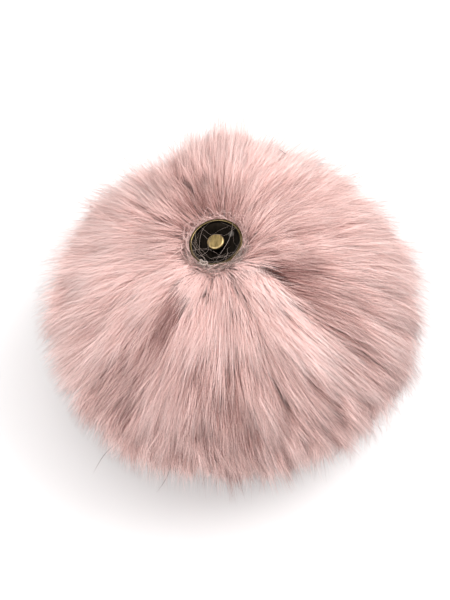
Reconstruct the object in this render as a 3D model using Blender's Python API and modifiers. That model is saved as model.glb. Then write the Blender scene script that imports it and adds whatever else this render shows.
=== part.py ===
"""A fake-fur pompom with a press stud at its gathered middle, lying with the stud side up.

Three solids: the fur ball, whose locks are fused at their roots to the stuffed pelt, the metal cup of the
press stud, and the stud in the cup. Metres, +Z up. The origin is the middle of the small flat spot that the
ball rests on, and the plane Z = 0 is the surface under it. The gathered side leans a little towards -X.
"""

import math

import bmesh
import bpy
import numpy as np
from mathutils import Matrix, Vector

GAP = 0.0003

# The ball, measured from its middle: across, up to the crown and down towards the surface.
BALL_MIDDLE = 0.036
LEAN = math.radians(11)
FUR_RADIUS = 0.0545
FUR_UP = 0.0395
FUR_DOWN = 0.047
FUR_SQUARENESS = 2.3
PELT_RADIUS = 0.0405
PELT_UP = 0.0320
PELT_DOWN = 0.0428
PELT_SQUARENESS = 2.3

# The flat that the press stud is sewn to, and the hollow that the fur leaves around it.
SEAT_RISE = 0.0288
HOLLOW_DEPTH = 0.0128
HOLLOW_RADIUS = 0.0133

# Everything within SETTLE of the surface is pressed level onto it, and the lean fades out below LEAN_FADE.
SETTLE = 0.005
LEAN_FADE = 0.030

PELT_SEGMENTS = 24
PELT_RINGS = 13
ROOT_DEPTH = 0.0025
SEED = 7

# Rings of locks from the stud to the surface. The angles are measured at the ball's middle from its axis,
# and reach is the mean share of the pile's height that the tips come to.
RING_COLUMNS = ("from_deg", "to_deg", "locks", "reach")
RINGS = (
    (17, 30, 17, 0.95),
    (30, 44, 24, 0.97),
    (44, 59, 30, 0.97),
    (59, 75, 33, 0.97),
    (75, 92, 33, 0.97),
    (92, 109, 31, 0.97),
    (109, 126, 28, 0.98),
    (126, 142, 23, 0.99),
    (142, 156, 18, 1.00),
)

# How far a lock's tip is combed past its root, away from the stud. Under the ball the locks splay outwards.
COMB_COLUMNS = ("root_deg", "comb_deg")
COMB = (
    (15, 10),
    (30, 15),
    (50, 20),
    (85, 20),
    (110, 12),
    (130, 0),
    (150, -12),
    (165, -13),
)

# Places where the pile stands out or falls back, by the angle around the axis from +X, the angle down from
# it, the spread of the place, and the share of the ball's radius that is gained.
LOBE_COLUMNS = ("around_deg", "down_deg", "spread_deg", "gain")
LOBES = (
    (96, 68, 12, 0.060),
    (54, 74, 20, -0.105),
    (118, 72, 13, -0.080),
    (-4, 86, 12, -0.030),
    (170, 88, 24, 0.060),
    (-62, 52, 14, 0.035),
    (-28, 46, 10, -0.040),
    (-128, 66, 12, -0.035),
    (-92, 104, 34, -0.045),
)

# A lock's sections, along it from the pelt to the tip: the share of the way, and the share of its full width.
STATION_COLUMNS = ("along", "width")
STATIONS = (
    (0.40, 0.98),
    (0.76, 0.66),
)
ROOT_WIDTH = 0.80
RIDGE_WIDTH = 0.42

# How much of its cell a lock fills, and how uneven the cells, the reach and the tips' places in them are.
LOCK_FILL = 0.88
CELL_UNEVENNESS = 0.16
REACH_UNEVENNESS = (-0.10, 0.05)
TIP_SHIFT = 0.5

# How late along its way a lock is combed over (1 is evenly), and how far it strays sideways at most.
COMB_DELAY = 1.3
SWIRL = math.radians(5)

# The press stud, from the underside of its cup.
CUP_RADIUS = 0.0075
CUP_FOOT_RADIUS = 0.0062
CUP_HEIGHT = 0.0022
CUP_FLOOR = 0.0006
CUP_FLOOR_RADIUS = 0.0050
CUP_NECK_RADIUS = 0.0071
CUP_NECK_HEIGHT = 0.0010
BEAD = 0.00045
STUD_RADIUS = 0.00245
STUD_TOP_RADIUS = 0.00185
STUD_NECK_RADIUS = 0.00175
STUD_NECK_HEIGHT = 0.00045
STUD_HEIGHT = 0.0018
SNAP_SEGMENTS = 32

FUR_COLOR = (0.70, 0.45, 0.41)
BRASS_COLOR = (0.30, 0.22, 0.10)


def clear_scene():
    for obj in list(bpy.data.objects):
        bpy.data.objects.remove(obj)


def new_collection(name):
    collection = bpy.data.collections.new(name)
    bpy.context.scene.collection.children.link(collection)
    return collection


def new_material(name, color, roughness, metallic):
    material = bpy.data.materials.new(name)
    material.use_nodes = True
    shader = material.node_tree.nodes["Principled BSDF"]
    shader.inputs["Base Color"].default_value = (*color, 1)
    shader.inputs["Roughness"].default_value = roughness
    shader.inputs["Metallic"].default_value = metallic
    return material


def add_object(name, shape, collection, material=None):
    """Turns a bmesh into an object of this collection."""
    mesh = bpy.data.meshes.new(name)
    shape.to_mesh(mesh)
    shape.free()
    obj = bpy.data.objects.new(name, mesh)
    collection.objects.link(obj)
    if material:
        mesh.materials.append(material)
    return obj


def column(rows, columns, name):
    return np.array([row[columns.index(name)] for row in rows], float)


def ball_radius(down, across, up_size, down_size, squareness):
    """The radius of a rounded, flattened ball in the direction at the angle down from its axis."""
    along = np.abs(np.cos(down)) / np.where(np.cos(down) > 0, up_size, down_size)
    return (np.abs(np.sin(down) / across) ** squareness + along**squareness) ** (-1 / squareness)


def short_of_plane(radius, distance, cosine):
    """The radius, shortened to a plane at this distance whose normal makes an angle of this cosine with it."""
    faces_plane = cosine > 0
    return np.where(faces_plane, np.minimum(radius, distance / np.where(faces_plane, cosine, 1)), radius)


def above_surface(radius, down):
    """The radius, shortened where it would pass through the surface that the ball is pressed onto."""
    return short_of_plane(radius, BALL_MIDDLE + SETTLE, -np.cos(down))


def pelt_radius(down):
    """The radius of the stuffed pelt, flat under the press stud and on the surface."""
    radius = ball_radius(down, PELT_RADIUS, PELT_UP, PELT_DOWN, PELT_SQUARENESS)
    return above_surface(short_of_plane(radius, SEAT_RISE, np.cos(down)), down)


def lobe_gain(down, around):
    """The share that the lobes add to the ball's radius: each is a bell over the angle from its middle."""
    gain = 0
    for row in LOBES:
        lobe = dict(zip(LOBE_COLUMNS, row))
        lobe_down = math.radians(lobe["down_deg"])
        lobe_around = math.radians(lobe["around_deg"])
        cosine = np.cos(down) * math.cos(lobe_down)
        cosine = cosine + np.sin(down) * math.sin(lobe_down) * np.cos(around - lobe_around)
        angle = np.degrees(np.arccos(np.clip(cosine, -1, 1)))
        gain = gain + lobe["gain"] * np.exp(-0.5 * (angle / lobe["spread_deg"]) ** 2)
    return gain


def fur_radius(down, around):
    """The radius that the tips come to, with the hollow around the stud taken off."""
    radius = ball_radius(down, FUR_RADIUS, FUR_UP, FUR_DOWN, FUR_SQUARENESS)
    radius = radius * (1 + lobe_gain(down, around))
    from_axis = radius * np.sin(down)
    hollow = HOLLOW_DEPTH * np.exp(-((from_axis / HOLLOW_RADIUS) ** 2))
    return above_surface(radius - np.where(np.cos(down) > 0, hollow, 0), down)


def place(radius, down, around):
    """Points of the ball in the part's frame: leaned, and pressed level where they come to the surface."""
    upright = np.stack(
        [
            radius * np.sin(down) * np.cos(around),
            radius * np.sin(down) * np.sin(around),
            radius * np.cos(down),
        ],
        axis=-1,
    )
    leaned = upright @ np.array(Matrix.Rotation(-LEAN, 3, "Y")).T
    rise = np.clip((upright[..., 2:] + BALL_MIDDLE) / LEAN_FADE, 0, 1)
    points = upright + rise**2 * (3 - 2 * rise) * (leaned - upright)
    height = points[..., 2] + BALL_MIDDLE
    pressed = (np.maximum(height, -SETTLE) + SETTLE) ** 2 / (4 * SETTLE)
    points[..., 2] = np.where(height < SETTLE, pressed, height)
    return points


def lock_points(along, down, around):
    """Points of the pile at the share along of its way from the pelt to the tips, for roots at these angles.

    A lock leaves the pelt nearly upright and is combed over more and more on its way out. Roots that lie
    apart stay apart at every share of the way, so no two locks meet.
    """
    comb = np.interp(
        np.degrees(down), column(COMB, COMB_COLUMNS, "root_deg"), column(COMB, COMB_COLUMNS, "comb_deg")
    )
    bend = np.maximum(along, 0) ** COMB_DELAY
    swirl = SWIRL * np.sin(2 * around + 3 * down) * np.sin(down)
    down = down + np.radians(comb) * bend
    around = around + swirl * bend
    inner = pelt_radius(down)
    outer = np.maximum(fur_radius(down, around), inner)
    radius = np.where(along < 0, inner - ROOT_DEPTH, inner + np.maximum(along, 0) * (outer - inner))
    return place(radius, down, around)


def lock_section(along, width, cell):
    """The four corners of a lock's section: a wide side below, and a narrower ridge on the stud's side."""
    corners = ((-1, -RIDGE_WIDTH), (1, -1), (1, 1), (-1, RIDGE_WIDTH))
    down = np.array([cell["down"] + cell["half_down"] * width * a for a, _ in corners])
    around = np.array([cell["around"] + cell["half_around"] * width * b for _, b in corners])
    return lock_points(np.full(len(corners), along), down, around)


def add_lock(shape, cell, reach, tip_shift):
    """A four-sided lock that tapers from its root under the pelt to a point."""
    sections = [lock_section(-1, ROOT_WIDTH, cell)]
    for row in STATIONS:
        station = dict(zip(STATION_COLUMNS, row))
        sections.append(lock_section(station["along"] * reach, station["width"], cell))
    tip_down = cell["down"] + cell["half_down"] * tip_shift[0]
    tip_around = cell["around"] + cell["half_around"] * tip_shift[1]
    tip = lock_points(np.array([reach]), np.array([tip_down]), np.array([tip_around]))[0]
    rings = [[shape.verts.new(point) for point in section] for section in sections]
    tip = shape.verts.new(tip)
    sides = len(rings[0])
    shape.faces.new(rings[0][::-1])
    for lower, upper in zip(rings, rings[1:]):
        for i in range(sides):
            j = (i + 1) % sides
            shape.faces.new((lower[i], lower[j], upper[j], upper[i]))
    for i in range(sides):
        shape.faces.new((rings[-1][i], rings[-1][(i + 1) % sides], tip))


def lock_cells(ring, rng):
    """The cells of one ring, of uneven widths, each with a small gap to its neighbours."""
    count = ring["locks"]
    edges = np.arange(count) + rng.uniform(-CELL_UNEVENNESS, CELL_UNEVENNESS, count) + rng.uniform(0, 1)
    edges = np.append(edges, edges[0] + count) * (2 * math.pi / count)
    low, high = math.radians(ring["from_deg"]), math.radians(ring["to_deg"])
    for start, end in zip(edges, edges[1:]):
        yield {
            "down": (low + high) / 2,
            "half_down": LOCK_FILL * (high - low) / 2,
            "around": (start + end) / 2,
            "half_around": LOCK_FILL * (end - start) / 2,
        }


def build_locks(collection):
    rng = np.random.default_rng(SEED)
    shape = bmesh.new()
    for row in RINGS:
        ring = dict(zip(RING_COLUMNS, row))
        for cell in lock_cells(ring, rng):
            reach = min(1, ring["reach"] + rng.uniform(*REACH_UNEVENNESS))
            add_lock(shape, cell, reach, rng.uniform(-TIP_SHIFT, TIP_SHIFT, 2))
    bmesh.ops.recalc_face_normals(shape, faces=shape.faces)
    locks = add_object("locks", shape, collection)
    locks.hide_render = True
    locks.display_type = "WIRE"
    return locks


def build_fur_ball(collection, helpers, material):
    """The stuffed pelt as a sphere pressed and leaned into shape, joined with the locks that grow from it."""
    shape = bmesh.new()
    bmesh.ops.create_uvsphere(shape, u_segments=PELT_SEGMENTS, v_segments=PELT_RINGS, radius=1)
    direction = np.array([vertex.co for vertex in shape.verts])
    down = np.arccos(np.clip(direction[:, 2], -1, 1))
    around = np.arctan2(direction[:, 1], direction[:, 0])
    for vertex, point in zip(shape.verts, place(pelt_radius(down), down, around)):
        vertex.co = point
    ball = add_object("fur_ball", shape, collection, material)
    join = ball.modifiers.new("join_locks", "BOOLEAN")
    join.operation = "UNION"
    join.object = build_locks(helpers)
    return ball


def arc(center, radius, start_deg, end_deg, steps):
    """Points of an arc in the plane of a turned profile, from one angle to another."""
    angles = np.radians(np.linspace(start_deg, end_deg, steps + 1))
    return [(center[0] + radius * math.cos(a), center[1] + radius * math.sin(a)) for a in angles]


def turned(name, profile, seat, collection, material):
    """A profile of (radius, height) points turned about the axis of the press stud."""
    mesh = bpy.data.meshes.new(name)
    edges = [(i, i + 1) for i in range(len(profile) - 1)]
    mesh.from_pydata([(radius, 0, height) for radius, height in profile], edges, [])
    obj = bpy.data.objects.new(name, mesh)
    collection.objects.link(obj)
    mesh.materials.append(material)
    obj.matrix_world = seat
    screw = obj.modifiers.new("turn", "SCREW")
    screw.steps = screw.render_steps = SNAP_SEGMENTS
    screw.use_merge_vertices = True
    screw.merge_threshold = 0.00001
    screw.use_smooth_shade = True
    return obj


def cup_profile():
    """From the middle of the cup's floor outwards, up the wall, over the rolled bead and down the outside."""
    bead_middle = (CUP_RADIUS - BEAD, CUP_HEIGHT - BEAD)
    return [
        (0, CUP_FLOOR),
        (CUP_FLOOR_RADIUS, CUP_FLOOR),
        *arc(bead_middle, BEAD, 200, -40, 8),
        (CUP_NECK_RADIUS, CUP_NECK_HEIGHT),
        (CUP_FOOT_RADIUS, 0),
        (0, 0),
    ]


def stud_profile():
    """The stud's flat top, its rounded head and the narrower neck under it."""
    head = STUD_RADIUS - STUD_TOP_RADIUS
    head_middle = (STUD_TOP_RADIUS, STUD_HEIGHT - head)
    return [
        (0, STUD_HEIGHT),
        *arc(head_middle, head, 90, -60, 6),
        (STUD_NECK_RADIUS, STUD_NECK_HEIGHT),
        (STUD_NECK_RADIUS, 0),
        (0, 0),
    ]


def build_press_stud(collection, material):
    middle = Matrix.Translation(Vector((0, 0, BALL_MIDDLE)))
    seat = middle @ Matrix.Rotation(-LEAN, 4, "Y") @ Matrix.Translation(Vector((0, 0, SEAT_RISE + GAP)))
    turned("snap_cup", cup_profile(), seat, collection, material)
    on_floor = seat @ Matrix.Translation(Vector((0, 0, CUP_FLOOR + GAP)))
    turned("snap_stud", stud_profile(), on_floor, collection, material)


def main():
    clear_scene()
    pompom = new_collection("pompom")
    helpers = new_collection("helpers")
    fur = new_material("fur", FUR_COLOR, roughness=0.9, metallic=0)
    brass = new_material("antique_brass", BRASS_COLOR, roughness=0.4, metallic=1)
    build_fur_ball(pompom, helpers, fur)
    build_press_stud(pompom, brass)


main()
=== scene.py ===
"""Dresses the pompom: dusty-pink fur over the pelt, an antique brass press stud, and soft studio light.

Lengths are metres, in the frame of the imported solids: +Z up, the photograph's camera on the -Y side. Every
strand of fur is one closed, three-sided needle, and all of them are worked out together as whole arrays.
"""

import math

import bpy
import numpy as np
from mathutils import Matrix, Vector


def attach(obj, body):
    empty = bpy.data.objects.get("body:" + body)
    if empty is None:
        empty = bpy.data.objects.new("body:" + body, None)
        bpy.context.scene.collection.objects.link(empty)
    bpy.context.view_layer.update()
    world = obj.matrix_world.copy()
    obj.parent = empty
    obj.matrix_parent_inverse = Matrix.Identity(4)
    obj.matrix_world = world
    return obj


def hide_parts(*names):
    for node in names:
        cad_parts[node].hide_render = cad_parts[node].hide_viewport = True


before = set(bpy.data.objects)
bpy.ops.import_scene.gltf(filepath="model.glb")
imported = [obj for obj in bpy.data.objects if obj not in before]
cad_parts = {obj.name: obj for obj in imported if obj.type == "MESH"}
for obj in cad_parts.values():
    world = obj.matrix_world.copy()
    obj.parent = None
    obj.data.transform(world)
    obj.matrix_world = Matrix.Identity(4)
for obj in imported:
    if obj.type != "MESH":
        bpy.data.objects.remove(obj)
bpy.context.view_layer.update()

# The ball as the solids have it, measured from its middle.
BALL_MIDDLE = 0.036
LEAN = math.radians(11)
FUR_RADIUS = 0.0545
FUR_UP = 0.0395
FUR_DOWN = 0.047
PELT_RADIUS = 0.0405
PELT_UP = 0.0320
PELT_DOWN = 0.0428
SQUARENESS = 2.3
SEAT_RISE = 0.0288
HOLLOW_DEPTH = 0.0128
HOLLOW_RADIUS = 0.0133
SETTLE = 0.005
LEAN_FADE = 0.030
GAP = 0.0003

# The places where the pile stands out or falls back, as in the solids.
LOBE_COLUMNS = ("around_deg", "down_deg", "spread_deg", "gain")
LOBES = (
    (96, 68, 12, 0.060),
    (54, 74, 20, -0.105),
    (118, 72, 13, -0.080),
    (-4, 86, 12, -0.030),
    (170, 88, 24, 0.060),
    (-62, 52, 14, 0.035),
    (-28, 46, 10, -0.040),
    (-128, 66, 12, -0.035),
    (-92, 104, 34, -0.045),
)

# Long locks and creases that show in the fur: where each starts and ends, its half width, how much it stands
# out of the pile, and how much paler its strands are. The tones are painted light and shade: darker strands
# along the creases, in the valleys and behind the stud are painted shade, and paler strands on the pale locks
# and on the left and far sides are painted light.
STREAK_COLUMNS = ("around_a", "down_a", "around_b", "down_b", "spread_deg", "gain", "tone")
STREAKS = (
    (-46, 25, -51, 61, 4.8, 0.026, 0.50),
    (-172, 18, 172, 30, 7.0, -0.010, -0.28),
    (-152, 20, -114, 32, 3.5, 0.020, 0.38),
    (-122, 39, -118, 51, 2.3, -0.055, -0.48),
    (-82, 35, -84, 46, 2.2, -0.010, -0.14),
    (-18, 22, -26, 44, 6.0, -0.006, -0.26),
    (-26, 44, -34, 64, 5.5, -0.015, -0.28),
    (10, 30, -2, 40, 4.0, -0.030, -0.18),
    (60, 14, 110, 26, 10.0, -0.010, -0.38),
    (150, 34, 150, 62, 14.0, 0.000, 0.05),
    (-85, 60, -86, 74, 3.0, -0.018, -0.22),
    (-100, 62, -103, 80, 3.0, -0.018, -0.20),
    (-66, 62, -69, 80, 4.0, 0.024, -0.06),
    (-126, 56, -134, 76, 4.0, -0.040, -0.16),
    (-150, 52, -156, 72, 4.0, -0.035, -0.12),
    (-92, 44, -92, 58, 6.0, 0.015, 0.16),
    (-170, 44, 178, 74, 12.0, 0.015, 0.18),
    (84, 60, 88, 90, 16.0, 0.000, 0.14),
    (56, 62, 26, 76, 14.0, -0.065, 0.06),
    (110, 64, 152, 72, 12.0, -0.035, 0.04),
    (-152, 86, -115, 92, 15.0, 0.060, 0.00),
    (-50, 88, -24, 88, 10.0, 0.025, 0.00),
)

# Tables over the angle down from the ball's axis, read in straight lines between their rows. COMB holds the
# degrees by which a strand's tip is combed away from the stud, LOW_REACH how much more of the pile's height
# the strands low on the front take.
TABLE_COLUMNS = ("down_deg", "value")
COMB = ((10, 13), (30, 24), (50, 26), (85, 20), (110, 9), (130, -1), (150, -12), (175, -14))
LOW_REACH = ((60, 0.0), (84, 0.045), (112, 0.055), (140, 0.0))
SWIRL = math.radians(5)

# The fur: whole counts for the ball, shared out over a few pieces, and the run of a strand from root to tip.
STRANDS = 148000
FUR_PIECES = 5
TUFTS = 12000
LOCKS = 1200
FOLDS = 170
STRAND_NUDGE = 0.30
GROUP_NUDGE = 0.28
ROOTS_FROM = math.radians(12.6)
ROOTS_TO = math.radians(179.6)
PELT_CLEARANCE = 0.0012
SHARES = (0.0, 0.46, 1.0)
WIDTH_SHARES = (0.0, 1.0, 0.0)
KNEE_SPREAD = 0.08
PILE_REACH = 0.915
LEAST_RISE = 0.0004
MOST_REACH = 0.0592
STRAND_REACH = 0.96
REACH_LIMITS = (0.5, 1.15)
STRAND_WIDTH = 0.00015
WIDTH_RANGE = (0.70, 1.20)
SEED = 11

# How far a strand is drawn to its tuft and a tuft to its lock, and how much their middles stand out.
TUFT_PULL = 0.62
MOST_TUFT_PULL = 0.95
TUFT_CROWN = 0.006
LOCK_PULL = ((45, 0.15), (85, 0.82))
LOCK_CROWN = ((45, 0.014), (85, 0.044))
RIDGE_LIFT = 0.030

# Standard deviations of what the tufts, locks, folds and strands vary in, in the order of the draws.
TUFT_SPREADS = {"reach": 0.060, "lift": 0.014, "tone": 0.13, "pull": 0.20, "stray": 0.018}
LOCK_SPREADS = {"tone": 0.07, "reach": 0.09, "lift": 0.028, "stray": 0.034}
FOLD_SPREADS = {"tone": 0.06, "lift": 0.020, "stray": 0.024}
STRAND_SPREADS = {"lift": 0.014, "reach": 0.07, "comb": 0.10, "stray": 0.020}
STRAND_TONE_SPREAD = 0.10

# Fuzz is the share of fine, pale strands that stand away from the pile and are combed less the more they do.
FUZZ_SHARE = 0.42
FUZZ_WIDTH = 0.55
FUZZ_REACH = 0.05
FUZZ_TONE = 0.12
AWAY_SPREAD = 0.100
AWAY = ((10, 0.5), (50, 1.0), (80, 1.0), (110, 0.4))
UNCOMBED = 7
MOST_UNCOMBED = 0.45
DARK_SHARE = ((20, 0.05), (45, 0.10), (80, 0.30))
DARK_WIDTH = 0.8
DARK_TONE = -0.38

# The strands' tones, from 0 to 1, and how the groups' differences grow down the ball.
STRAND_TONE = 0.51
TONE_LIMITS = (0.01, 0.97)
# Strands in the paler streaks are drawn this far towards this tone: painted light.
PAINTED_LIGHT_TONE = 0.92
PAINTED_LIGHT_BLEND = 0.8
STREAK_SHARE = 0.8
# Strands are paler where the partings lift the pile and darker where it dips: painted light and shade.
RIDGE_LIGHT_AND_SHADE = 0.13
SHAPE_CONTRAST = ((25, 0.55), (50, 1.0))
TUFT_CONTRAST = ((25, 0.55), (50, 1.0), (85, 1.5))
LOCK_CONTRAST = ((25, 0.7), (50, 1.0), (85, 2.0))
# How much darker the strands are low on the ball: painted shade under it.
UNDER_PAINTED_SHADE = ((80, 0.0), (110, 0.17), (140, 0.1))
UNDER_HEIGHT = ((90, 0.0), (115, 0.3))
SIDE_TONE_STEP = 0.006

# The press stud, from the underside of its cup, as the solids have it.
CUP_RADIUS = 0.0075
CUP_FOOT_RADIUS = 0.0062
CUP_HEIGHT = 0.0022
CUP_FLOOR = 0.0006
CUP_FLOOR_RADIUS = 0.0050
CUP_NECK_RADIUS = 0.0071
CUP_NECK_HEIGHT = 0.0010
CUP_INNER = 0.0006
CUP_WALL = ((0.0055, 0.00078), (0.0060, 0.00108), (0.0064, 0.00142))
BEAD = 0.00045
BEAD_ARC_DEG = (200, -40)
BEAD_STEPS = 16
STUD_RADIUS = 0.00245
STUD_TOP_RADIUS = 0.00160
STUD_NECK_RADIUS = 0.00175
STUD_NECK_HEIGHT = 0.00045
STUD_HEIGHT = 0.0018
STUD_INNER = 0.0003
STUD_SHOULDER = 0.00075
STUD_SHOULDER_DEG = (90, -40)
TURN_STEPS = 96

# The photograph's view: 450 x 600, with so many metres of the middle of the ball to a pixel.
CAMERA_ELEVATION = math.radians(60)
CAMERA_DISTANCE = 0.60
METRES_PER_PIXEL = 0.000285
FRAME_HEIGHT_PIXELS = 600
AIM_RIGHT_PIXELS = -12
AIM_HEIGHT = 0.035


def column(rows, columns, name):
    return np.array([row[columns.index(name)] for row in rows], float)


def by_angle(table, down_deg):
    """The table's value at these angles in degrees."""
    places, values = (column(table, TABLE_COLUMNS, name) for name in TABLE_COLUMNS)
    return np.interp(down_deg, places, values)


def direction(down, around):
    """The unit vector at these angles from the ball's axis and around it."""
    return np.stack([np.sin(down) * np.cos(around), np.sin(down) * np.sin(around), np.cos(down)], axis=-1)


def unit(vectors):
    return vectors / (np.linalg.norm(vectors, axis=-1, keepdims=True) + 1e-12)


def angles(vectors):
    """The angles down and around of these directions."""
    vectors = unit(vectors)
    return np.arccos(np.clip(vectors[..., 2], -1, 1)), np.arctan2(vectors[..., 1], vectors[..., 0])


def ball_radius(down, across, up_size, down_size):
    """Superellipse: the radius at which (across share)^q + (height share)^q comes to 1, q the squareness."""
    along = np.abs(np.cos(down)) / np.where(np.cos(down) > 0, up_size, down_size)
    return ((np.abs(np.sin(down)) / across) ** SQUARENESS + along**SQUARENESS) ** (-1 / SQUARENESS)


def short_of_plane(radius, distance, cosine):
    """The radius, cut short at a plane: its distance over the cosine of the angle to its normal."""
    faces_plane = cosine > 0
    return np.where(faces_plane, np.minimum(radius, distance / np.where(faces_plane, cosine, 1)), radius)


def pelt_radius(down):
    """The stuffed pelt: the smaller superellipse, cut flat under the stud and at the surface."""
    radius = ball_radius(down, PELT_RADIUS, PELT_UP, PELT_DOWN)
    radius = short_of_plane(radius, SEAT_RISE, np.cos(down))
    return short_of_plane(radius, BALL_MIDDLE + SETTLE, -np.cos(down))


def lobe_gain(down, around):
    """The sum of bells, exp(-(angle / spread)^2 / 2), over the angle from each lobe's middle."""
    gain = 0
    for row in LOBES:
        lobe = dict(zip(LOBE_COLUMNS, row))
        middle = direction(math.radians(lobe["down_deg"]), math.radians(lobe["around_deg"]))
        angle = np.degrees(np.arccos(np.clip(direction(down, around) @ middle, -1, 1)))
        gain = gain + lobe["gain"] * np.exp(-0.5 * (angle / lobe["spread_deg"]) ** 2)
    return gain


def streak_sum(down, around, effect):
    """The sum of this effect over the streaks, each a bell over the distance from its middle line."""
    total = 0
    here = direction(down, around)
    for row in STREAKS:
        streak = dict(zip(STREAK_COLUMNS, row))
        start = direction(math.radians(streak["down_a"]), math.radians(streak["around_a"]))
        run = direction(math.radians(streak["down_b"]), math.radians(streak["around_b"])) - start
        share = np.clip((here - start) @ run / (run @ run), 0, 1)
        away = np.degrees(np.linalg.norm(here - start - share[..., None] * run, axis=-1))
        total = total + streak[effect] * np.exp(-0.5 * (away / streak["spread_deg"]) ** 2)
    return total


# Long partings that run out from the stud: how many go round the ball, and their share of the height.
RIDGES = ((5, 0.30), (9, 0.25), (14, 0.20), (22, 0.15), (35, 0.10))


def ridges(down, around):
    """A sum of cos(count * around + 1.5 sin(3 down + count) + count^2), each by its share: from -1 to 1."""
    return sum(share * np.cos(n * around + 1.5 * np.sin(3 * down + n) + n * n) for n, share in RIDGES)


def fur_radius(down, around):
    """The reach of the fur: the larger superellipse with its lobes and streaks, less the stud's hollow."""
    radius = ball_radius(down, FUR_RADIUS, FUR_UP, FUR_DOWN)
    radius = radius * (1 + lobe_gain(down, around) + streak_sum(down, around, "gain"))
    hollow = HOLLOW_DEPTH * np.exp(-((radius * np.sin(down) / HOLLOW_RADIUS) ** 2))
    radius = radius - np.where(np.cos(down) > 0, hollow, 0)
    return short_of_plane(radius, BALL_MIDDLE + SETTLE, -np.cos(down))


def place(radius, down, around):
    """Points of the ball, leaned about Y as the solids are, and pressed level near the surface.

    The lean fades in as a smooth step of the height, and heights h under SETTLE become (h + s)^2 / 4s.
    """
    upright = radius[..., None] * direction(down, around)
    leaned = upright @ np.array(Matrix.Rotation(-LEAN, 3, "Y")).T
    rise = np.clip((upright[..., 2:] + BALL_MIDDLE) / LEAN_FADE, 0, 1)
    points = upright + rise**2 * (3 - 2 * rise) * (leaned - upright)
    height = points[..., 2] + BALL_MIDDLE
    pressed = (np.maximum(height, -SETTLE) + SETTLE) ** 2 / (4 * SETTLE)
    points[..., 2] = np.where(height < SETTLE, pressed, height)
    return points


def combed(share, down, around, comb_share):
    """The angles at this share of a strand's way, which the comb moves by share^1.3 of its whole angle."""
    comb = by_angle(COMB, np.degrees(down))
    swirl = SWIRL * np.sin(2 * around + 3 * down) * np.sin(down)
    bend = comb_share * share**1.3
    return np.clip(down + np.radians(comb) * bend, 0.001, math.pi - 0.001), around + swirl * bend


def pile_points(share, down, around, lift, comb_share):
    """Points at this share of a strand's way for roots at these angles.

    The strand rises as 1 - (1 - share)^2 of the pile's height while it is combed over, so it leaves the
    pelt steeply and ends lying along the fur. The pile is a little higher low down on the front.
    """
    down, around = combed(share, down, around, comb_share)
    inner = pelt_radius(down)
    more = by_angle(LOW_REACH, np.degrees(down)) * np.clip(0.5 - np.sin(around), 0, 1)
    outer = np.minimum(fur_radius(down, around) * (PILE_REACH + more + lift * share**2), MOST_REACH)
    outer = np.maximum(outer, inner + LEAST_RISE)
    rise = 1 - np.clip(1 - share, 0, 1) ** 2
    points = place(inner + rise * (outer - inner), down, around)
    points[..., 2] = np.maximum(points[..., 2], 0.6 * STRAND_WIDTH + PELT_CLEARANCE * (1 - share) ** 2)
    return points


def spread_directions(count, nudge, rng):
    """Directions in a sunflower spiral between the two ends of the pelt, each nudged at random."""
    number = np.arange(count) + 0.5
    height = np.cos(ROOTS_FROM) + (np.cos(ROOTS_TO) - np.cos(ROOTS_FROM)) * number / count
    around = number * math.pi * (3 - math.sqrt(5))
    vectors = direction(np.arccos(height), around)
    return unit(vectors + rng.normal(0, nudge * math.sqrt(4 * math.pi / count), vectors.shape))


def nearest(points, centres):
    """For each direction the number of the centre with the largest dot product, in blocks of rows."""
    blocks = np.array_split(points, max(1, len(points) // 4000))
    return np.concatenate([np.argmax(block @ centres.T, axis=1) for block in blocks])


def link(name, mesh, material):
    mesh.materials.append(material)
    obj = bpy.data.objects.new(name, mesh)
    bpy.context.scene.collection.objects.link(obj)
    return obj


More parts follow.
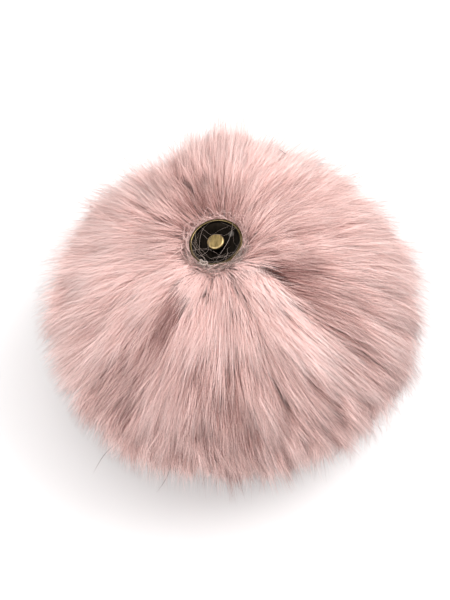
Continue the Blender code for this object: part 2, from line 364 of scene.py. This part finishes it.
def strand_mesh(name, paths, widths, roll, tones, heights, material, sides=3):
    """Closed strands: a ring of corners carried along each path, and a point at either end of it.

    Corner i of a ring lies at path + r (cos a * side + sin a * lift), with a = roll + 2 pi i / sides, where
    side is square to the path and to the way out from the middle, and lift is square to both. The UV map
    OFBake holds the strand's tone, with a small step for each side, and the height given for each station.
    """
    count, stations = paths.shape[:2]
    rings = stations - 2
    tangent = unit(np.gradient(paths, axis=1))[:, 1:-1, None]
    side = unit(np.cross(tangent, (paths - np.array([0, 0, BALL_MIDDLE]))[:, 1:-1, None]))
    lift = np.cross(tangent, side)
    turn = (roll[:, None, None] + np.arange(sides) * 2 * math.pi / sides)[..., None]
    outwards = np.cos(turn) * side + np.sin(turn) * lift
    corners = paths[:, 1:-1, None] + widths[:, 1:-1, None, None] / 2 * outwards
    points = np.concatenate([paths[:, :1], corners.reshape(count, -1, 3), paths[:, -1:]], axis=1)
    tip = rings * sides + 1
    ring_of = np.concatenate([[0], np.repeat(np.arange(rings) + 1, sides), [stations - 1]])

    faces, steps = [], []
    for i in range(sides):
        j = (i + 1) % sides
        faces.append((1 + j, 1 + i, 0))
        steps.append((i + 1, i, i + 0.5))
        for low in range(1, tip - sides, sides):
            faces.append((low + i, low + j, low + sides + j, low + sides + i))
            steps.append((i, i + 1, i + 1, i))
        faces.append((tip - sides + i, tip - sides + j, tip))
        steps.append((i, i + 1, i + 0.5))
    loops = np.concatenate(faces)
    sizes = np.array([len(face) for face in faces])
    first = np.cumsum(sizes) - sizes
    each = np.arange(count)[:, None]

    mesh = bpy.data.meshes.new(name)
    mesh.vertices.add(count * (tip + 1))
    mesh.vertices.foreach_set("co", points.astype(np.float32).ravel())
    mesh.loops.add(count * len(loops))
    mesh.loops.foreach_set("vertex_index", (each * (tip + 1) + loops).astype(np.int32).ravel())
    mesh.polygons.add(count * len(sizes))
    mesh.polygons.foreach_set("loop_start", (each * len(loops) + first).astype(np.int32).ravel())
    mesh.polygons.foreach_set("loop_total", np.tile(sizes, count).astype(np.int32))
    across = tones[:, None] + SIDE_TONE_STEP * np.concatenate(steps)
    along = heights[:, ring_of][:, loops]
    maps = mesh.uv_layers.new(name="OFBake")
    maps.data.foreach_set("uv", np.stack([across, along], axis=-1).astype(np.float32).ravel())
    mesh.update(calc_edges=True)
    return link(name, mesh, material)


def set_ramp(node, stops):
    ramp = node.color_ramp
    while len(ramp.elements) < len(stops):
        ramp.elements.new(0.5)
    for element, (position, color) in zip(ramp.elements, stops):
        element.position = position
        element.color = (*color, 1)


def ramp_color(nodes, links, value, stops):
    """The colour that a ramp with these stops gives for a value."""
    node = nodes.new("ShaderNodeValToRGB")
    set_ramp(node, stops)
    links.new(value, node.inputs["Fac"])
    return node.outputs["Color"]


def map_range(nodes, links, value, limits):
    """A value mapped from one range to another, with these limits for the node's sockets."""
    node = nodes.new("ShaderNodeMapRange")
    for socket, limit in limits.items():
        node.inputs[socket].default_value = limit
    links.new(value, node.inputs["Value"])
    return node.outputs["Result"]


def strand_material(name, along, tones, roughness):
    """A strand's colour: a ramp over the height in the pile, times a ramp over the strand's own tone."""
    material = bpy.data.materials.new(name)
    material.use_nodes = True
    nodes, links = material.node_tree.nodes, material.node_tree.links
    shader = nodes["Principled BSDF"]
    shader.inputs["Roughness"].default_value = roughness
    shader.inputs["Specular IOR Level"].default_value = 0.12
    uv = nodes.new("ShaderNodeUVMap")
    uv.uv_map = "OFBake"
    split = nodes.new("ShaderNodeSeparateXYZ")
    links.new(uv.outputs["UV"], split.inputs["Vector"])
    mix = nodes.new("ShaderNodeMix")
    mix.data_type = "RGBA"
    mix.blend_type = "MULTIPLY"
    mix.inputs["Factor"].default_value = 1
    for axis, stops, socket in (("Y", along, "A"), ("X", tones, "B")):
        links.new(ramp_color(nodes, links, split.outputs[axis], stops), mix.inputs[socket])
    links.new(mix.outputs["Result"], shader.inputs["Base Color"])
    return material


def fur_material():
    return strand_material(
        "pink_fur",
        # The height ramp: darker towards the roots, as painted shade deep in the pile, and paler towards the
        # tips.
        along=(
            (0.0, (0.60, 0.39, 0.36)),
            (0.4, (0.87, 0.61, 0.57)),
            (0.8, (0.96, 0.755, 0.72)),
            (1.0, (0.99, 0.88, 0.86)),
        ),
        tones=(
            (0.0, (0.28, 0.18, 0.17)),
            (0.25, (0.57, 0.45, 0.43)),
            (0.50, (0.80, 0.72, 0.705)),
            (0.75, (0.94, 0.90, 0.89)),
            (1.0, (1.0, 1.0, 1.0)),
        ),
        roughness=0.5,
    )


def grey_fibre_material():
    return strand_material(
        "grey_fibre",
        # Darker at low heights: painted shade near the roots, as on the fur.
        along=((0.0, (0.55, 0.42, 0.38)), (1.0, (0.80, 0.75, 0.72))),
        tones=((0.0, (0.14, 0.11, 0.10)), (0.5, (0.48, 0.42, 0.39)), (1.0, (1.0, 0.98, 0.96))),
        roughness=0.5,
    )


def draw_steps(rng, count, spreads, group_of=slice(None)):
    """Random steps for each of the groups, handed to its strands: three for stray, one for the others."""
    steps = {}
    for name, spread in spreads.items():
        shape = (count, 3) if name == "stray" else count
        steps[name] = rng.normal(0, spread, shape)[group_of]
    return steps


def build_fur(material):
    """All the strands: roots, the tuft and lock that gather each, and their shares on the way to the tip."""
    rng = np.random.default_rng(SEED)
    roots = spread_directions(STRANDS, STRAND_NUDGE, rng)
    tufts = spread_directions(TUFTS, GROUP_NUDGE, rng)
    locks = spread_directions(LOCKS, GROUP_NUDGE, rng)
    tuft_of = nearest(roots, tufts)
    lock_of = nearest(tufts, locks)[tuft_of]
    tuft = draw_steps(rng, TUFTS, TUFT_SPREADS, tuft_of)
    lock = draw_steps(rng, LOCKS, LOCK_SPREADS, lock_of)
    folds = spread_directions(FOLDS, GROUP_NUDGE, rng)
    fold = draw_steps(rng, FOLDS, FOLD_SPREADS, nearest(locks, folds)[lock_of])

    low = np.degrees(angles(roots)[0])
    fuzz = rng.random(STRANDS) < FUZZ_SHARE
    dark = rng.random(STRANDS) < by_angle(DARK_SHARE, low)
    away = np.abs(rng.normal(0, AWAY_SPREAD, STRANDS)) * fuzz * by_angle(AWAY, low)
    strand = draw_steps(rng, STRANDS, STRAND_SPREADS)

    # How high a strand stands in the pile, how far it runs, and how much of the comb it follows.
    off_tuft = np.linalg.norm(roots - tufts[tuft_of], axis=1) / math.sqrt(math.pi / TUFTS)
    off_lock = np.linalg.norm(roots - locks[lock_of], axis=1) / math.sqrt(math.pi / LOCKS)
    crown = TUFT_CROWN * (0.5 - off_tuft**2) + by_angle(LOCK_CROWN, low) * (0.5 - off_lock**2)
    parting = ridges(*angles(locks[lock_of]))
    fine = by_angle(SHAPE_CONTRAST, low)
    lift = fine * (tuft["lift"] + lock["lift"] + fold["lift"] + RIDGE_LIFT * parting)
    lift = lift + crown + strand["lift"] + away
    reach = STRAND_REACH + tuft["reach"] + lock["reach"] + strand["reach"] + FUZZ_REACH * fuzz
    comb_share = 1 - np.clip(UNCOMBED * away, 0, MOST_UNCOMBED) + strand["comb"]
    knee = rng.uniform(-KNEE_SPREAD, KNEE_SPREAD, STRANDS)[:, None] * np.array([0, 1, 0])
    share = (np.array(SHARES) + knee) * np.clip(reach, *REACH_LIMITS)[:, None]

    # Where its tip is drawn: to its tuft, with that to its lock, and a little astray.
    tuft_pull = fine * np.clip(TUFT_PULL + tuft["pull"], 0, MOST_TUFT_PULL)
    to_tuft = tuft_pull[:, None] * (tufts[tuft_of] - roots)
    to_lock = by_angle(LOCK_PULL, low)[:, None] * (locks[lock_of] - tufts[tuft_of])
    stray = tuft["stray"] + lock["stray"] + fold["stray"] + strand["stray"]
    vectors = roots[:, None] + share[..., None] * (to_tuft + to_lock + stray)[:, None]
    down, around = angles(vectors)
    paths = pile_points(share, down, around, lift[:, None], comb_share[:, None])

    width = STRAND_WIDTH * rng.uniform(*WIDTH_RANGE, STRANDS)
    width = width * np.where(fuzz, FUZZ_WIDTH, 1) * np.where(dark, DARK_WIDTH, 1)
    tones = STRAND_TONE + by_angle(TUFT_CONTRAST, low) * tuft["tone"]
    # The partings' term paints light on the ridges and shade in the partings.
    tones = tones + by_angle(LOCK_CONTRAST, low) * lock["tone"] + fold["tone"] + RIDGE_LIGHT_AND_SHADE * parting
    tones = tones + rng.normal(0, STRAND_TONE_SPREAD, STRANDS)
    # Strands low on the ball are darker: painted shade under it.
    tones = tones + DARK_TONE * dark + FUZZ_TONE * fuzz - by_angle(UNDER_PAINTED_SHADE, low)
    # The streaks' tones: painted shade along the creases and behind the stud, painted light on the pale locks
    # and sides.
    painted_light_and_shade = streak_sum(*combed(STREAK_SHARE, down[:, -1], around[:, -1], comb_share), "tone")
    tones = tones + painted_light_and_shade + PAINTED_LIGHT_BLEND * np.clip(2 * painted_light_and_shade, 0, 1) * (PAINTED_LIGHT_TONE - tones)
    tones = np.clip(tones, *TONE_LIMITS)
    roll = rng.uniform(0, 2 * math.pi, STRANDS)
    heights = np.clip(share + by_angle(UNDER_HEIGHT, low)[:, None], 0, 1)
    pieces = []
    for number in range(FUR_PIECES):
        mine = np.arange(number, STRANDS, FUR_PIECES)
        widths = width[mine, None] * np.array(WIDTH_SHARES)
        strands = (paths[mine], widths, roll[mine], tones[mine], heights[mine])
        pieces.append(strand_mesh(f"fur_strands_{number + 1}", *strands, material))
    return pieces


def closed_of_rings(name, points, material):
    """Rings of points, rows x columns x 3, joined into a skin with a fan at either end.

    The UV map holds the share of the turn and the share of the way along the rows.
    """
    rows, columns = points.shape[:2]
    verts = np.concatenate([points[:1].mean(axis=1), points.reshape(-1, 3), points[-1:].mean(axis=1)])
    column_of = np.arange(columns)
    after = (column_of + 1) % columns
    low = 1 + np.arange(rows - 1)[:, None] * columns
    next_low = low + columns
    quads = np.stack([low + column_of, next_low + column_of, next_low + after, low + after], axis=-1)
    last = 1 + (rows - 1) * columns
    first_fan = np.stack([np.zeros(columns, int), 1 + column_of, 1 + after], axis=-1)
    last_fan = np.stack([last + column_of, np.full(columns, len(verts) - 1), last + after], axis=-1)
    mesh = bpy.data.meshes.new(name)
    mesh.from_pydata(verts, [], [*first_fan.tolist(), *quads.reshape(-1, 4).tolist(), *last_fan.tolist()])
    u, v = column_of / columns, (np.arange(rows) + 1) / (rows + 1)
    step = 1 / columns
    quad_u = np.stack([u, u, u + step, u + step], axis=-1)[None].repeat(rows - 1, axis=0)
    quad_v = np.stack([v[:-1], v[1:], v[1:], v[:-1]], axis=-1)[:, None].repeat(columns, axis=1)
    fan_u = np.stack([u + step / 2, u, u + step], axis=-1)
    fan_v = np.tile([0, v[0], v[0]], (columns, 1))
    end_u = np.stack([u, u + step / 2, u + step], axis=-1)
    end_v = np.tile([v[-1], 1, v[-1]], (columns, 1))
    flat = [
        np.stack([fan_u, fan_v], axis=-1).reshape(-1, 2),
        np.stack([quad_u, quad_v], axis=-1).reshape(-1, 2),
        np.stack([end_u, end_v], axis=-1).reshape(-1, 2),
    ]
    maps = mesh.uv_layers.new(name="wrap")
    maps.data.foreach_set("uv", np.concatenate(flat).astype(np.float32).ravel())
    mesh.shade_smooth()
    return link(name, mesh, material)


def plain_material(name, color, roughness):
    material = bpy.data.materials.new(name)
    material.use_nodes = True
    shader = material.node_tree.nodes["Principled BSDF"]
    shader.inputs["Base Color"].default_value = (*color, 1)
    shader.inputs["Roughness"].default_value = roughness
    return material


def pelt_material():
    """A knitted backing: fine wandering bands of a wave texture, coloured by a ramp of three pinks."""
    material = plain_material("pelt_backing", (0.84, 0.58, 0.53), 0.9)
    nodes, links = material.node_tree.nodes, material.node_tree.links
    place_of = nodes.new("ShaderNodeTexCoord")
    knit = nodes.new("ShaderNodeTexWave")
    knit.inputs["Scale"].default_value = 400
    knit.inputs["Distortion"].default_value = 6
    knit.inputs["Detail"].default_value = 3
    links.new(place_of.outputs["Object"], knit.inputs["Vector"])
    pinks = ((0.0, (0.62, 0.42, 0.39)), (0.6, (0.74, 0.53, 0.50)), (1.0, (0.84, 0.66, 0.63)))
    color = ramp_color(nodes, links, knit.outputs["Fac"], pinks)
    links.new(color, nodes["Principled BSDF"].inputs["Base Color"])
    return material


PELT_RINGS = 64
PELT_SIDES = 96
PELT_END = 0.02


def build_pelt():
    """The stuffed skin under the fur, on the solids' own pelt surface."""
    down = np.linspace(PELT_END, math.pi - PELT_END, PELT_RINGS)[:, None] + np.zeros(PELT_SIDES)
    around = np.linspace(0, 2 * math.pi, PELT_SIDES, endpoint=False)[None] + np.zeros((PELT_RINGS, 1))
    points = place(pelt_radius(down), down, around)
    points[..., 2] = np.maximum(points[..., 2], PELT_CLEARANCE)
    return closed_of_rings("pelt", points, pelt_material())


def seat_matrix(height):
    """The seat of the press stud, leaned as the ball is, at a height over the pelt's flat."""
    middle = Matrix.Translation(Vector((0, 0, BALL_MIDDLE)))
    rise = Matrix.Translation(Vector((0, 0, SEAT_RISE + GAP + height)))
    return middle @ Matrix.Rotation(-LEAN, 4, "Y") @ rise


def on_seat(points, height=0.0):
    matrix = np.array(seat_matrix(height))
    return points @ matrix[:3, :3].T + matrix[:3, 3]


def arc(center, radius, start_deg, end_deg, steps):
    """Points of an arc in the plane of a turned profile, from one angle to another."""
    turn = np.radians(np.linspace(start_deg, end_deg, steps + 1))
    return [(center[0] + radius * math.cos(a), center[1] + radius * math.sin(a)) for a in turn]


def turned(name, profile, height, material):
    """A profile of (radius, height) points turned about the seat's axis."""
    profile = np.array(profile)
    turn = np.linspace(0, 2 * math.pi, TURN_STEPS, endpoint=False)
    radius = profile[:, :1]
    points = np.stack(
        [radius * np.cos(turn), radius * np.sin(turn), np.repeat(profile[:, 1:], TURN_STEPS, axis=1)], axis=-1
    )
    return closed_of_rings(name, on_seat(points, height), material)


def cup_profile():
    """The dished floor, the curved wall, the rolled bead and the outside down to the foot."""
    bead_middle = (CUP_RADIUS - BEAD, CUP_HEIGHT - BEAD)
    return [
        (CUP_INNER, CUP_FLOOR), (0.0030, CUP_FLOOR), (CUP_FLOOR_RADIUS, CUP_FLOOR + 0.00005),
        *CUP_WALL,
        *arc(bead_middle, BEAD, *BEAD_ARC_DEG, BEAD_STEPS),
        (CUP_NECK_RADIUS, CUP_NECK_HEIGHT), (CUP_FOOT_RADIUS, 0), (CUP_INNER, 0),
    ]


def stud_profile():
    """The stud's flat worn top, its rounded shoulder and the narrower neck under it."""
    turn = np.radians(np.linspace(*STUD_SHOULDER_DEG, 14))
    radius = STUD_TOP_RADIUS + (STUD_RADIUS - STUD_TOP_RADIUS) * np.cos(turn)
    height = STUD_HEIGHT - STUD_SHOULDER + STUD_SHOULDER * np.sin(turn)
    return [
        (STUD_INNER, STUD_HEIGHT), (0.0009, STUD_HEIGHT),
        *zip(radius, height),
        (STUD_NECK_RADIUS, STUD_NECK_HEIGHT), (STUD_NECK_RADIUS, 0), (STUD_INNER, 0),
    ]


def build_press_stud():
    cup = turned("stud_cup", cup_profile(), 0, metal_material("bronze_cup", cup_colors(), REFLECTION_PLACE))
    head = turned("stud_head", stud_profile(), CUP_FLOOR + GAP, metal_material("brass_head", head_colors()))
    return cup, head


def way_shares(profile):
    """The share of the profile's length at which each of its points lies."""
    steps = np.linalg.norm(np.diff(np.array(profile), axis=0), axis=1)
    return np.concatenate([[0], np.cumsum(steps)]) / steps.sum()


BLACKENED = (0.008, 0.006, 0.0045)
OLIVE_BRASS = (0.07, 0.048, 0.022)
WORN_BRASS = (0.24, 0.17, 0.070)
BRIGHT_BRASS = (0.42, 0.31, 0.155)


def cup_colors():
    """Blackened in the dish, worn bright on the crown of the bead, olive outside."""
    profile = cup_profile()
    shares = way_shares(profile)
    crown = max(range(len(profile)), key=lambda i: profile[i][1])
    return (
        (0.0, BLACKENED),
        (shares[crown - 2], BLACKENED),
        (shares[crown], BRIGHT_BRASS),
        (shares[crown + 2], WORN_BRASS),
        (shares[crown + 4], OLIVE_BRASS),
        (1.0, OLIVE_BRASS),
    )


def head_colors():
    """Worn brass on the flat top and the shoulder, blackened under it."""
    shares = way_shares(stud_profile())
    return (
        (0.0, (0.28, 0.20, 0.085)),
        (shares[2], WORN_BRASS),
        (shares[7], BRIGHT_BRASS),
        (shares[11], OLIVE_BRASS),
        (1.0, BLACKENED),
    )


# A painted reflection of the lamp: a grey patch on the floor of the cup.
REFLECTION_PLACE = (-0.0019, 0.0029, 0.0665)
REFLECTION_RADIUS = 0.0011
REFLECTION_GREY = (0.22, 0.20, 0.18)


def metal_material(name, colors, reflection_place=None):
    """Brass: a ramp along the turned profile, blotched and streaked by noise, with a painted grey reflection
    where placed.
    """
    material = bpy.data.materials.new(name)
    material.use_nodes = True
    nodes, links = material.node_tree.nodes, material.node_tree.links
    shader = nodes["Principled BSDF"]
    shader.inputs["Metallic"].default_value = 1
    uv = nodes.new("ShaderNodeUVMap")
    uv.uv_map = "wrap"
    split = nodes.new("ShaderNodeSeparateXYZ")
    links.new(uv.outputs["UV"], split.inputs["Vector"])
    place_of = nodes.new("ShaderNodeTexCoord")
    noise = nodes.new("ShaderNodeTexNoise")
    noise.inputs["Scale"].default_value = 700
    noise.inputs["Detail"].default_value = 4
    streak = nodes.new("ShaderNodeMapping")
    streak.inputs["Scale"].default_value = (2.5, 0.7, 1)
    links.new(place_of.outputs["Object"], streak.inputs["Vector"])
    links.new(streak.outputs["Vector"], noise.inputs["Vector"])
    blotch_limits = {"From Min": 0.35, "From Max": 0.70, "To Min": 1.15, "To Max": 0.45}
    shade = nodes.new("ShaderNodeMix")
    shade.data_type = "RGBA"
    shade.blend_type = "MULTIPLY"
    shade.inputs["Factor"].default_value = 1
    links.new(ramp_color(nodes, links, split.outputs["Y"], colors), shade.inputs["A"])
    links.new(map_range(nodes, links, noise.outputs["Fac"], blotch_limits), shade.inputs["B"])
    color = shade.outputs["Result"]
    # A grey patch of painted reflection, fading out over its radius.
    if reflection_place:
        away = nodes.new("ShaderNodeVectorMath")
        away.operation = "DISTANCE"
        away.inputs[1].default_value = reflection_place
        links.new(place_of.outputs["Object"], away.inputs[0])
        near_limits = {"From Max": REFLECTION_RADIUS, "To Min": 0.8, "To Max": 0}
        reflected = nodes.new("ShaderNodeMix")
        reflected.data_type = "RGBA"
        reflected.inputs["B"].default_value = (*REFLECTION_GREY, 1)
        links.new(map_range(nodes, links, away.outputs["Value"], near_limits), reflected.inputs["Factor"])
        links.new(color, reflected.inputs["A"])
        color = reflected.outputs["Result"]
    links.new(color, shader.inputs["Base Color"])
    rough = map_range(nodes, links, noise.outputs["Fac"], {"To Min": 0.22, "To Max": 0.55})
    links.new(rough, shader.inputs["Roughness"])
    return material


def metal_top(radius):
    """The height of the highest metal at a radius from the stud's axis, over the seat."""
    head_top = CUP_FLOOR + GAP + STUD_HEIGHT
    tops = (
        (STUD_TOP_RADIUS, head_top),
        (STUD_RADIUS, head_top - 0.0003),
        (STUD_RADIUS + 0.0006, CUP_FLOOR + 0.0004),
        (CUP_FLOOR_RADIUS, CUP_FLOOR + 0.0002),
        (CUP_RADIUS - BEAD - 0.0004, CUP_HEIGHT - 0.0003),
        (CUP_RADIUS - BEAD, CUP_HEIGHT),
    )
    return np.interp(radius, *np.array(tops).T)


def build_dish_fibres(material):
    """Fine curly fibres on the cup: chords of its rim that bow and curl as sines, and sag into it."""
    rng = np.random.default_rng(SEED + 1)
    count = 30
    share = np.linspace(0, 1, 22)
    start = rng.normal(-2.9, 1.5, count)
    end = start + rng.normal(1.3, 0.6, count)
    reach = rng.uniform(0.0050, 0.0088, (2, count))
    ends = [r[:, None] * np.stack([np.cos(a), np.sin(a)], axis=-1) for r, a in zip(reach, (start, end))]
    run = ends[1] - ends[0]
    across = unit(np.stack([-run[:, 1], run[:, 0]], axis=-1))
    bow = rng.normal(-0.0005, 0.0015, count)[:, None] * np.sin(math.pi * share)
    turns = rng.uniform(0.5, 1.8, count)[:, None]
    curl = rng.uniform(0.0001, 0.0009, count)[:, None]
    curl = curl * np.sin(2 * math.pi * (turns * share + rng.random((count, 1))))
    flat = ends[0][:, None] + run[:, None] * share[:, None] + across[:, None] * (bow + curl)[..., None]
    radius = np.linalg.norm(flat, axis=-1)
    sag = rng.uniform(0, 0.0014, count)[:, None] * np.clip(1 - (radius / CUP_RADIUS) ** 2, 0, 1)
    height = CUP_HEIGHT + rng.uniform(0.0001, 0.0006, count)[:, None] - sag
    height = np.maximum(height, metal_top(radius) + 0.00008)
    paths = on_seat(np.concatenate([flat, height[..., None]], axis=-1))
    widths = rng.uniform(0.00003, 0.00007, count)[:, None] * np.minimum(1, 6 * np.minimum(share, 1 - share))
    tones = rng.uniform(0.10, 0.52, count)
    heights = rng.uniform(0.5, 0.95, (count, 1)) + 0.01 * share
    return strand_mesh("dish_fibres", paths, widths, np.zeros(count), tones, heights, material)


def build_collar(name, material, count, middle_deg, spread_deg, width, seed):
    """Short curly fibres round the cup: each rises as 1 - (1 - share)^2 while it winds in a small helix.

    They start at angles about the stud's axis that are spread evenly to this many degrees from a middle.
    """
    rng = np.random.default_rng(seed)
    share = np.linspace(0, 1, 7)
    root = rng.uniform(0.0064, 0.0096, count)[:, None]
    start = np.radians(middle_deg + spread_deg * rng.uniform(-1, 1, count))[:, None]
    curl = rng.uniform(0.0001, 0.0006, count)[:, None]
    wind = 2 * math.pi * (rng.uniform(0.3, 1.3, count)[:, None] * share + rng.random((count, 1)))
    radius = root + rng.normal(0.0002, 0.0014, count)[:, None] * share + curl * np.cos(wind) * share
    around = start + rng.normal(0, 0.38, count)[:, None] * share + curl * np.sin(wind) * share / root
    height = rng.uniform(0.0004, 0.0030, count)[:, None] * (1 - (1 - share) ** 2)
    wall = np.interp(height, (0, CUP_NECK_HEIGHT, CUP_HEIGHT), (CUP_FOOT_RADIUS, CUP_NECK_RADIUS, CUP_RADIUS))
    radius = np.maximum(radius, wall + 0.0001)
    points = np.stack([radius * np.cos(around), radius * np.sin(around), height], axis=-1)
    taper = np.interp(share, (0, 0.1, 0.7, 1), (0, 1, 0.9, 0))
    widths = width * rng.uniform(0.6, 1.2, count)[:, None] * taper
    # The collar sits low on the height ramps and takes their darker colours: painted shade round the cup.
    heights = np.broadcast_to(0.35 + 0.45 * share, (count, len(share)))
    roll = rng.uniform(0, 2 * math.pi, count)
    tones = rng.uniform(0.1, 0.8, count)
    return strand_mesh(name, on_seat(points), widths, roll, tones, heights, material)


# The knot that ends the sewing thread: where it lies on the rim, and its size.
KNOT_AROUND = math.radians(-117)
KNOT_RADIUS = 0.0073
KNOT_SIZE = (0.0011, 0.0006, 0.0003)
THREAD_WIDTH = 0.00016


def build_thread_knot(material):
    """A small tangle of thread on the rim: a Lissajous curve whose two ends run off as tails."""
    turn = np.linspace(0, 2 * math.pi, 120)
    lie = np.array([math.cos(KNOT_AROUND), math.sin(KNOT_AROUND), 0])
    along = np.array([-lie[1], lie[0], 0])
    tail = np.interp(turn, (0, 0.25, 6.0, 2 * math.pi), (-1, 0, 0, 1))
    x = KNOT_SIZE[0] * np.sin(3 * turn + 0.4) + 0.0026 * tail
    y = KNOT_SIZE[1] * np.sin(4 * turn) + 0.0008 * np.abs(tail)
    z = CUP_HEIGHT + 0.0004 + KNOT_SIZE[2] * np.sin(5 * turn + 1) - 0.0006 * np.abs(tail)
    points = x[:, None] * along + (KNOT_RADIUS + y)[:, None] * lie + z[:, None] * np.array([0, 0, 1])
    widths = np.full((1, len(turn)), THREAD_WIDTH)
    heights = np.linspace(0.8, 0.9, len(turn))[None]
    roll, tones = np.zeros(1), np.array([0.5])
    return strand_mesh("thread_knot", on_seat(points)[None], widths, roll, tones, heights, material, sides=6)


# Dark stray hairs that stick out of the pile: root, end, how far the middle bows sideways, and width.
STRAY_HAIR_COLUMNS = ("root", "end", "bow", "width")
STRAY_HAIRS = (
    ((-0.0330, -0.0340, 0.0140), (-0.0418, -0.0387, 0.0008), 0.0012, 0.00022),
    ((-0.0180, -0.0390, 0.0140), (-0.0234, -0.0447, 0.0008), -0.0009, 0.00020),
    ((0.0135, 0.0270, 0.0690), (0.0112, 0.0262, 0.0728), 0.0003, 0.00016),
)


def build_stray_hairs():
    share = np.linspace(0, 1, 14)
    rows = [dict(zip(STRAY_HAIR_COLUMNS, row)) for row in STRAY_HAIRS]
    root = np.array([row["root"] for row in rows])
    run = np.array([row["end"] for row in rows]) - root
    aside = unit(np.cross(run, np.array([0, 0, 1])))
    bow = np.array([row["bow"] for row in rows])[:, None] * np.sin(math.pi * share)
    paths = root[:, None] + run[:, None] * share[:, None] + aside[:, None] * bow[..., None]
    taper = np.interp(share, (0, 0.05, 0.6, 1), (0, 1, 0.8, 0))
    widths = np.array([row["width"] for row in rows])[:, None] * taper
    material = strand_material(
        "dark_hair",
        along=((0.0, (0.16, 0.10, 0.10)), (1.0, (0.22, 0.15, 0.15))),
        tones=((0.0, (0.8, 0.8, 0.8)), (1.0, (1.0, 1.0, 1.0))),
        roughness=0.5,
    )
    heights = np.broadcast_to(share, (len(rows), len(share)))
    roll, tones = np.zeros(len(rows)), np.full(len(rows), 0.5)
    return strand_mesh("stray_hairs", paths, widths, roll, tones, heights, material)


def build_floor():
    bpy.ops.mesh.primitive_plane_add(size=4, location=(0, 0, -0.0002))
    floor = bpy.context.object
    floor.name = "studio_floor"
    floor.data.materials.append(plain_material("white_sweep", (0.635, 0.62, 0.62), 0.9))


# The sky's greys by height and its strength, and soft lamps that face the ball: name, watts, side and place.
SKY_GREYS = ((0.0, (0.76, 0.76, 0.76)), (0.35, (0.94, 0.94, 0.94)), (1.0, (1.0, 1.0, 1.0)))
SKY_STRENGTH = 1.58
LAMPS = (
    ("window", 8.4, 0.7, (0.58, 0.18, 0.74)),
    ("front_fill", 6.0, 0.9, (-0.45, -0.72, 0.50)),
)


def build_light():
    world = bpy.data.worlds.new("studio")
    bpy.context.scene.world = world
    world.use_nodes = True
    nodes, links = world.node_tree.nodes, world.node_tree.links
    sky = nodes.new("ShaderNodeTexCoord")
    split = nodes.new("ShaderNodeSeparateXYZ")
    links.new(sky.outputs["Generated"], split.inputs["Vector"])
    background = nodes["Background"]
    links.new(ramp_color(nodes, links, split.outputs["Z"], SKY_GREYS), background.inputs["Color"])
    background.inputs["Strength"].default_value = SKY_STRENGTH
    for name, energy, size, location in LAMPS:
        light = bpy.data.lights.new(name, "AREA")
        light.energy = energy
        light.size = size
        lamp = bpy.data.objects.new(name, light)
        bpy.context.scene.collection.objects.link(lamp)
        lamp.location = location
        ahead = Vector((0, 0, BALL_MIDDLE)) - lamp.location
        lamp.rotation_euler = ahead.to_track_quat("-Z", "Y").to_euler()


def build_camera():
    camera = bpy.data.cameras.new("photo_camera")
    obj = bpy.data.objects.new("photo_camera", camera)
    bpy.context.scene.collection.objects.link(obj)
    back = Vector((0, -math.cos(CAMERA_ELEVATION), math.sin(CAMERA_ELEVATION)))
    aim = Vector((AIM_RIGHT_PIXELS * METRES_PER_PIXEL, 0, AIM_HEIGHT))
    obj.location = aim + CAMERA_DISTANCE * back
    obj.rotation_euler = back.to_track_quat("Z", "Y").to_euler()
    camera.sensor_fit = "VERTICAL"
    camera.angle_y = 2 * math.atan(METRES_PER_PIXEL * FRAME_HEIGHT_PIXELS / 2 / CAMERA_DISTANCE)
    camera.clip_start = 0.01
    bpy.context.scene.camera = obj


def finish_piece(piece, node):
    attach(piece, "root")
    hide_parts(node)


def main():
    fur = fur_material()
    for piece in build_fur(fur):
        finish_piece(piece, "fur_ball")
    pelt = build_pelt()
    finish_piece(pelt, "fur_ball")
    cup, head = build_press_stud()
    finish_piece(cup, "snap_cup")
    finish_piece(head, "snap_stud")
    grey = grey_fibre_material()
    loose = (
        build_dish_fibres(grey),
        build_collar("collar_fur", fur, 900, 145, 160, 0.00012, SEED + 2),
        build_collar("collar_fibres", grey, 380, -95, 80, 0.00008, SEED + 3),
        build_thread_knot(grey),
        build_stray_hairs(),
    )
    for piece in loose:
        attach(piece, "root")
    build_floor()
    build_light()
    build_camera()
    bpy.context.scene.view_settings.view_transform = "Standard"
    bpy.context.scene.cycles.diffuse_bounces = 8


main()
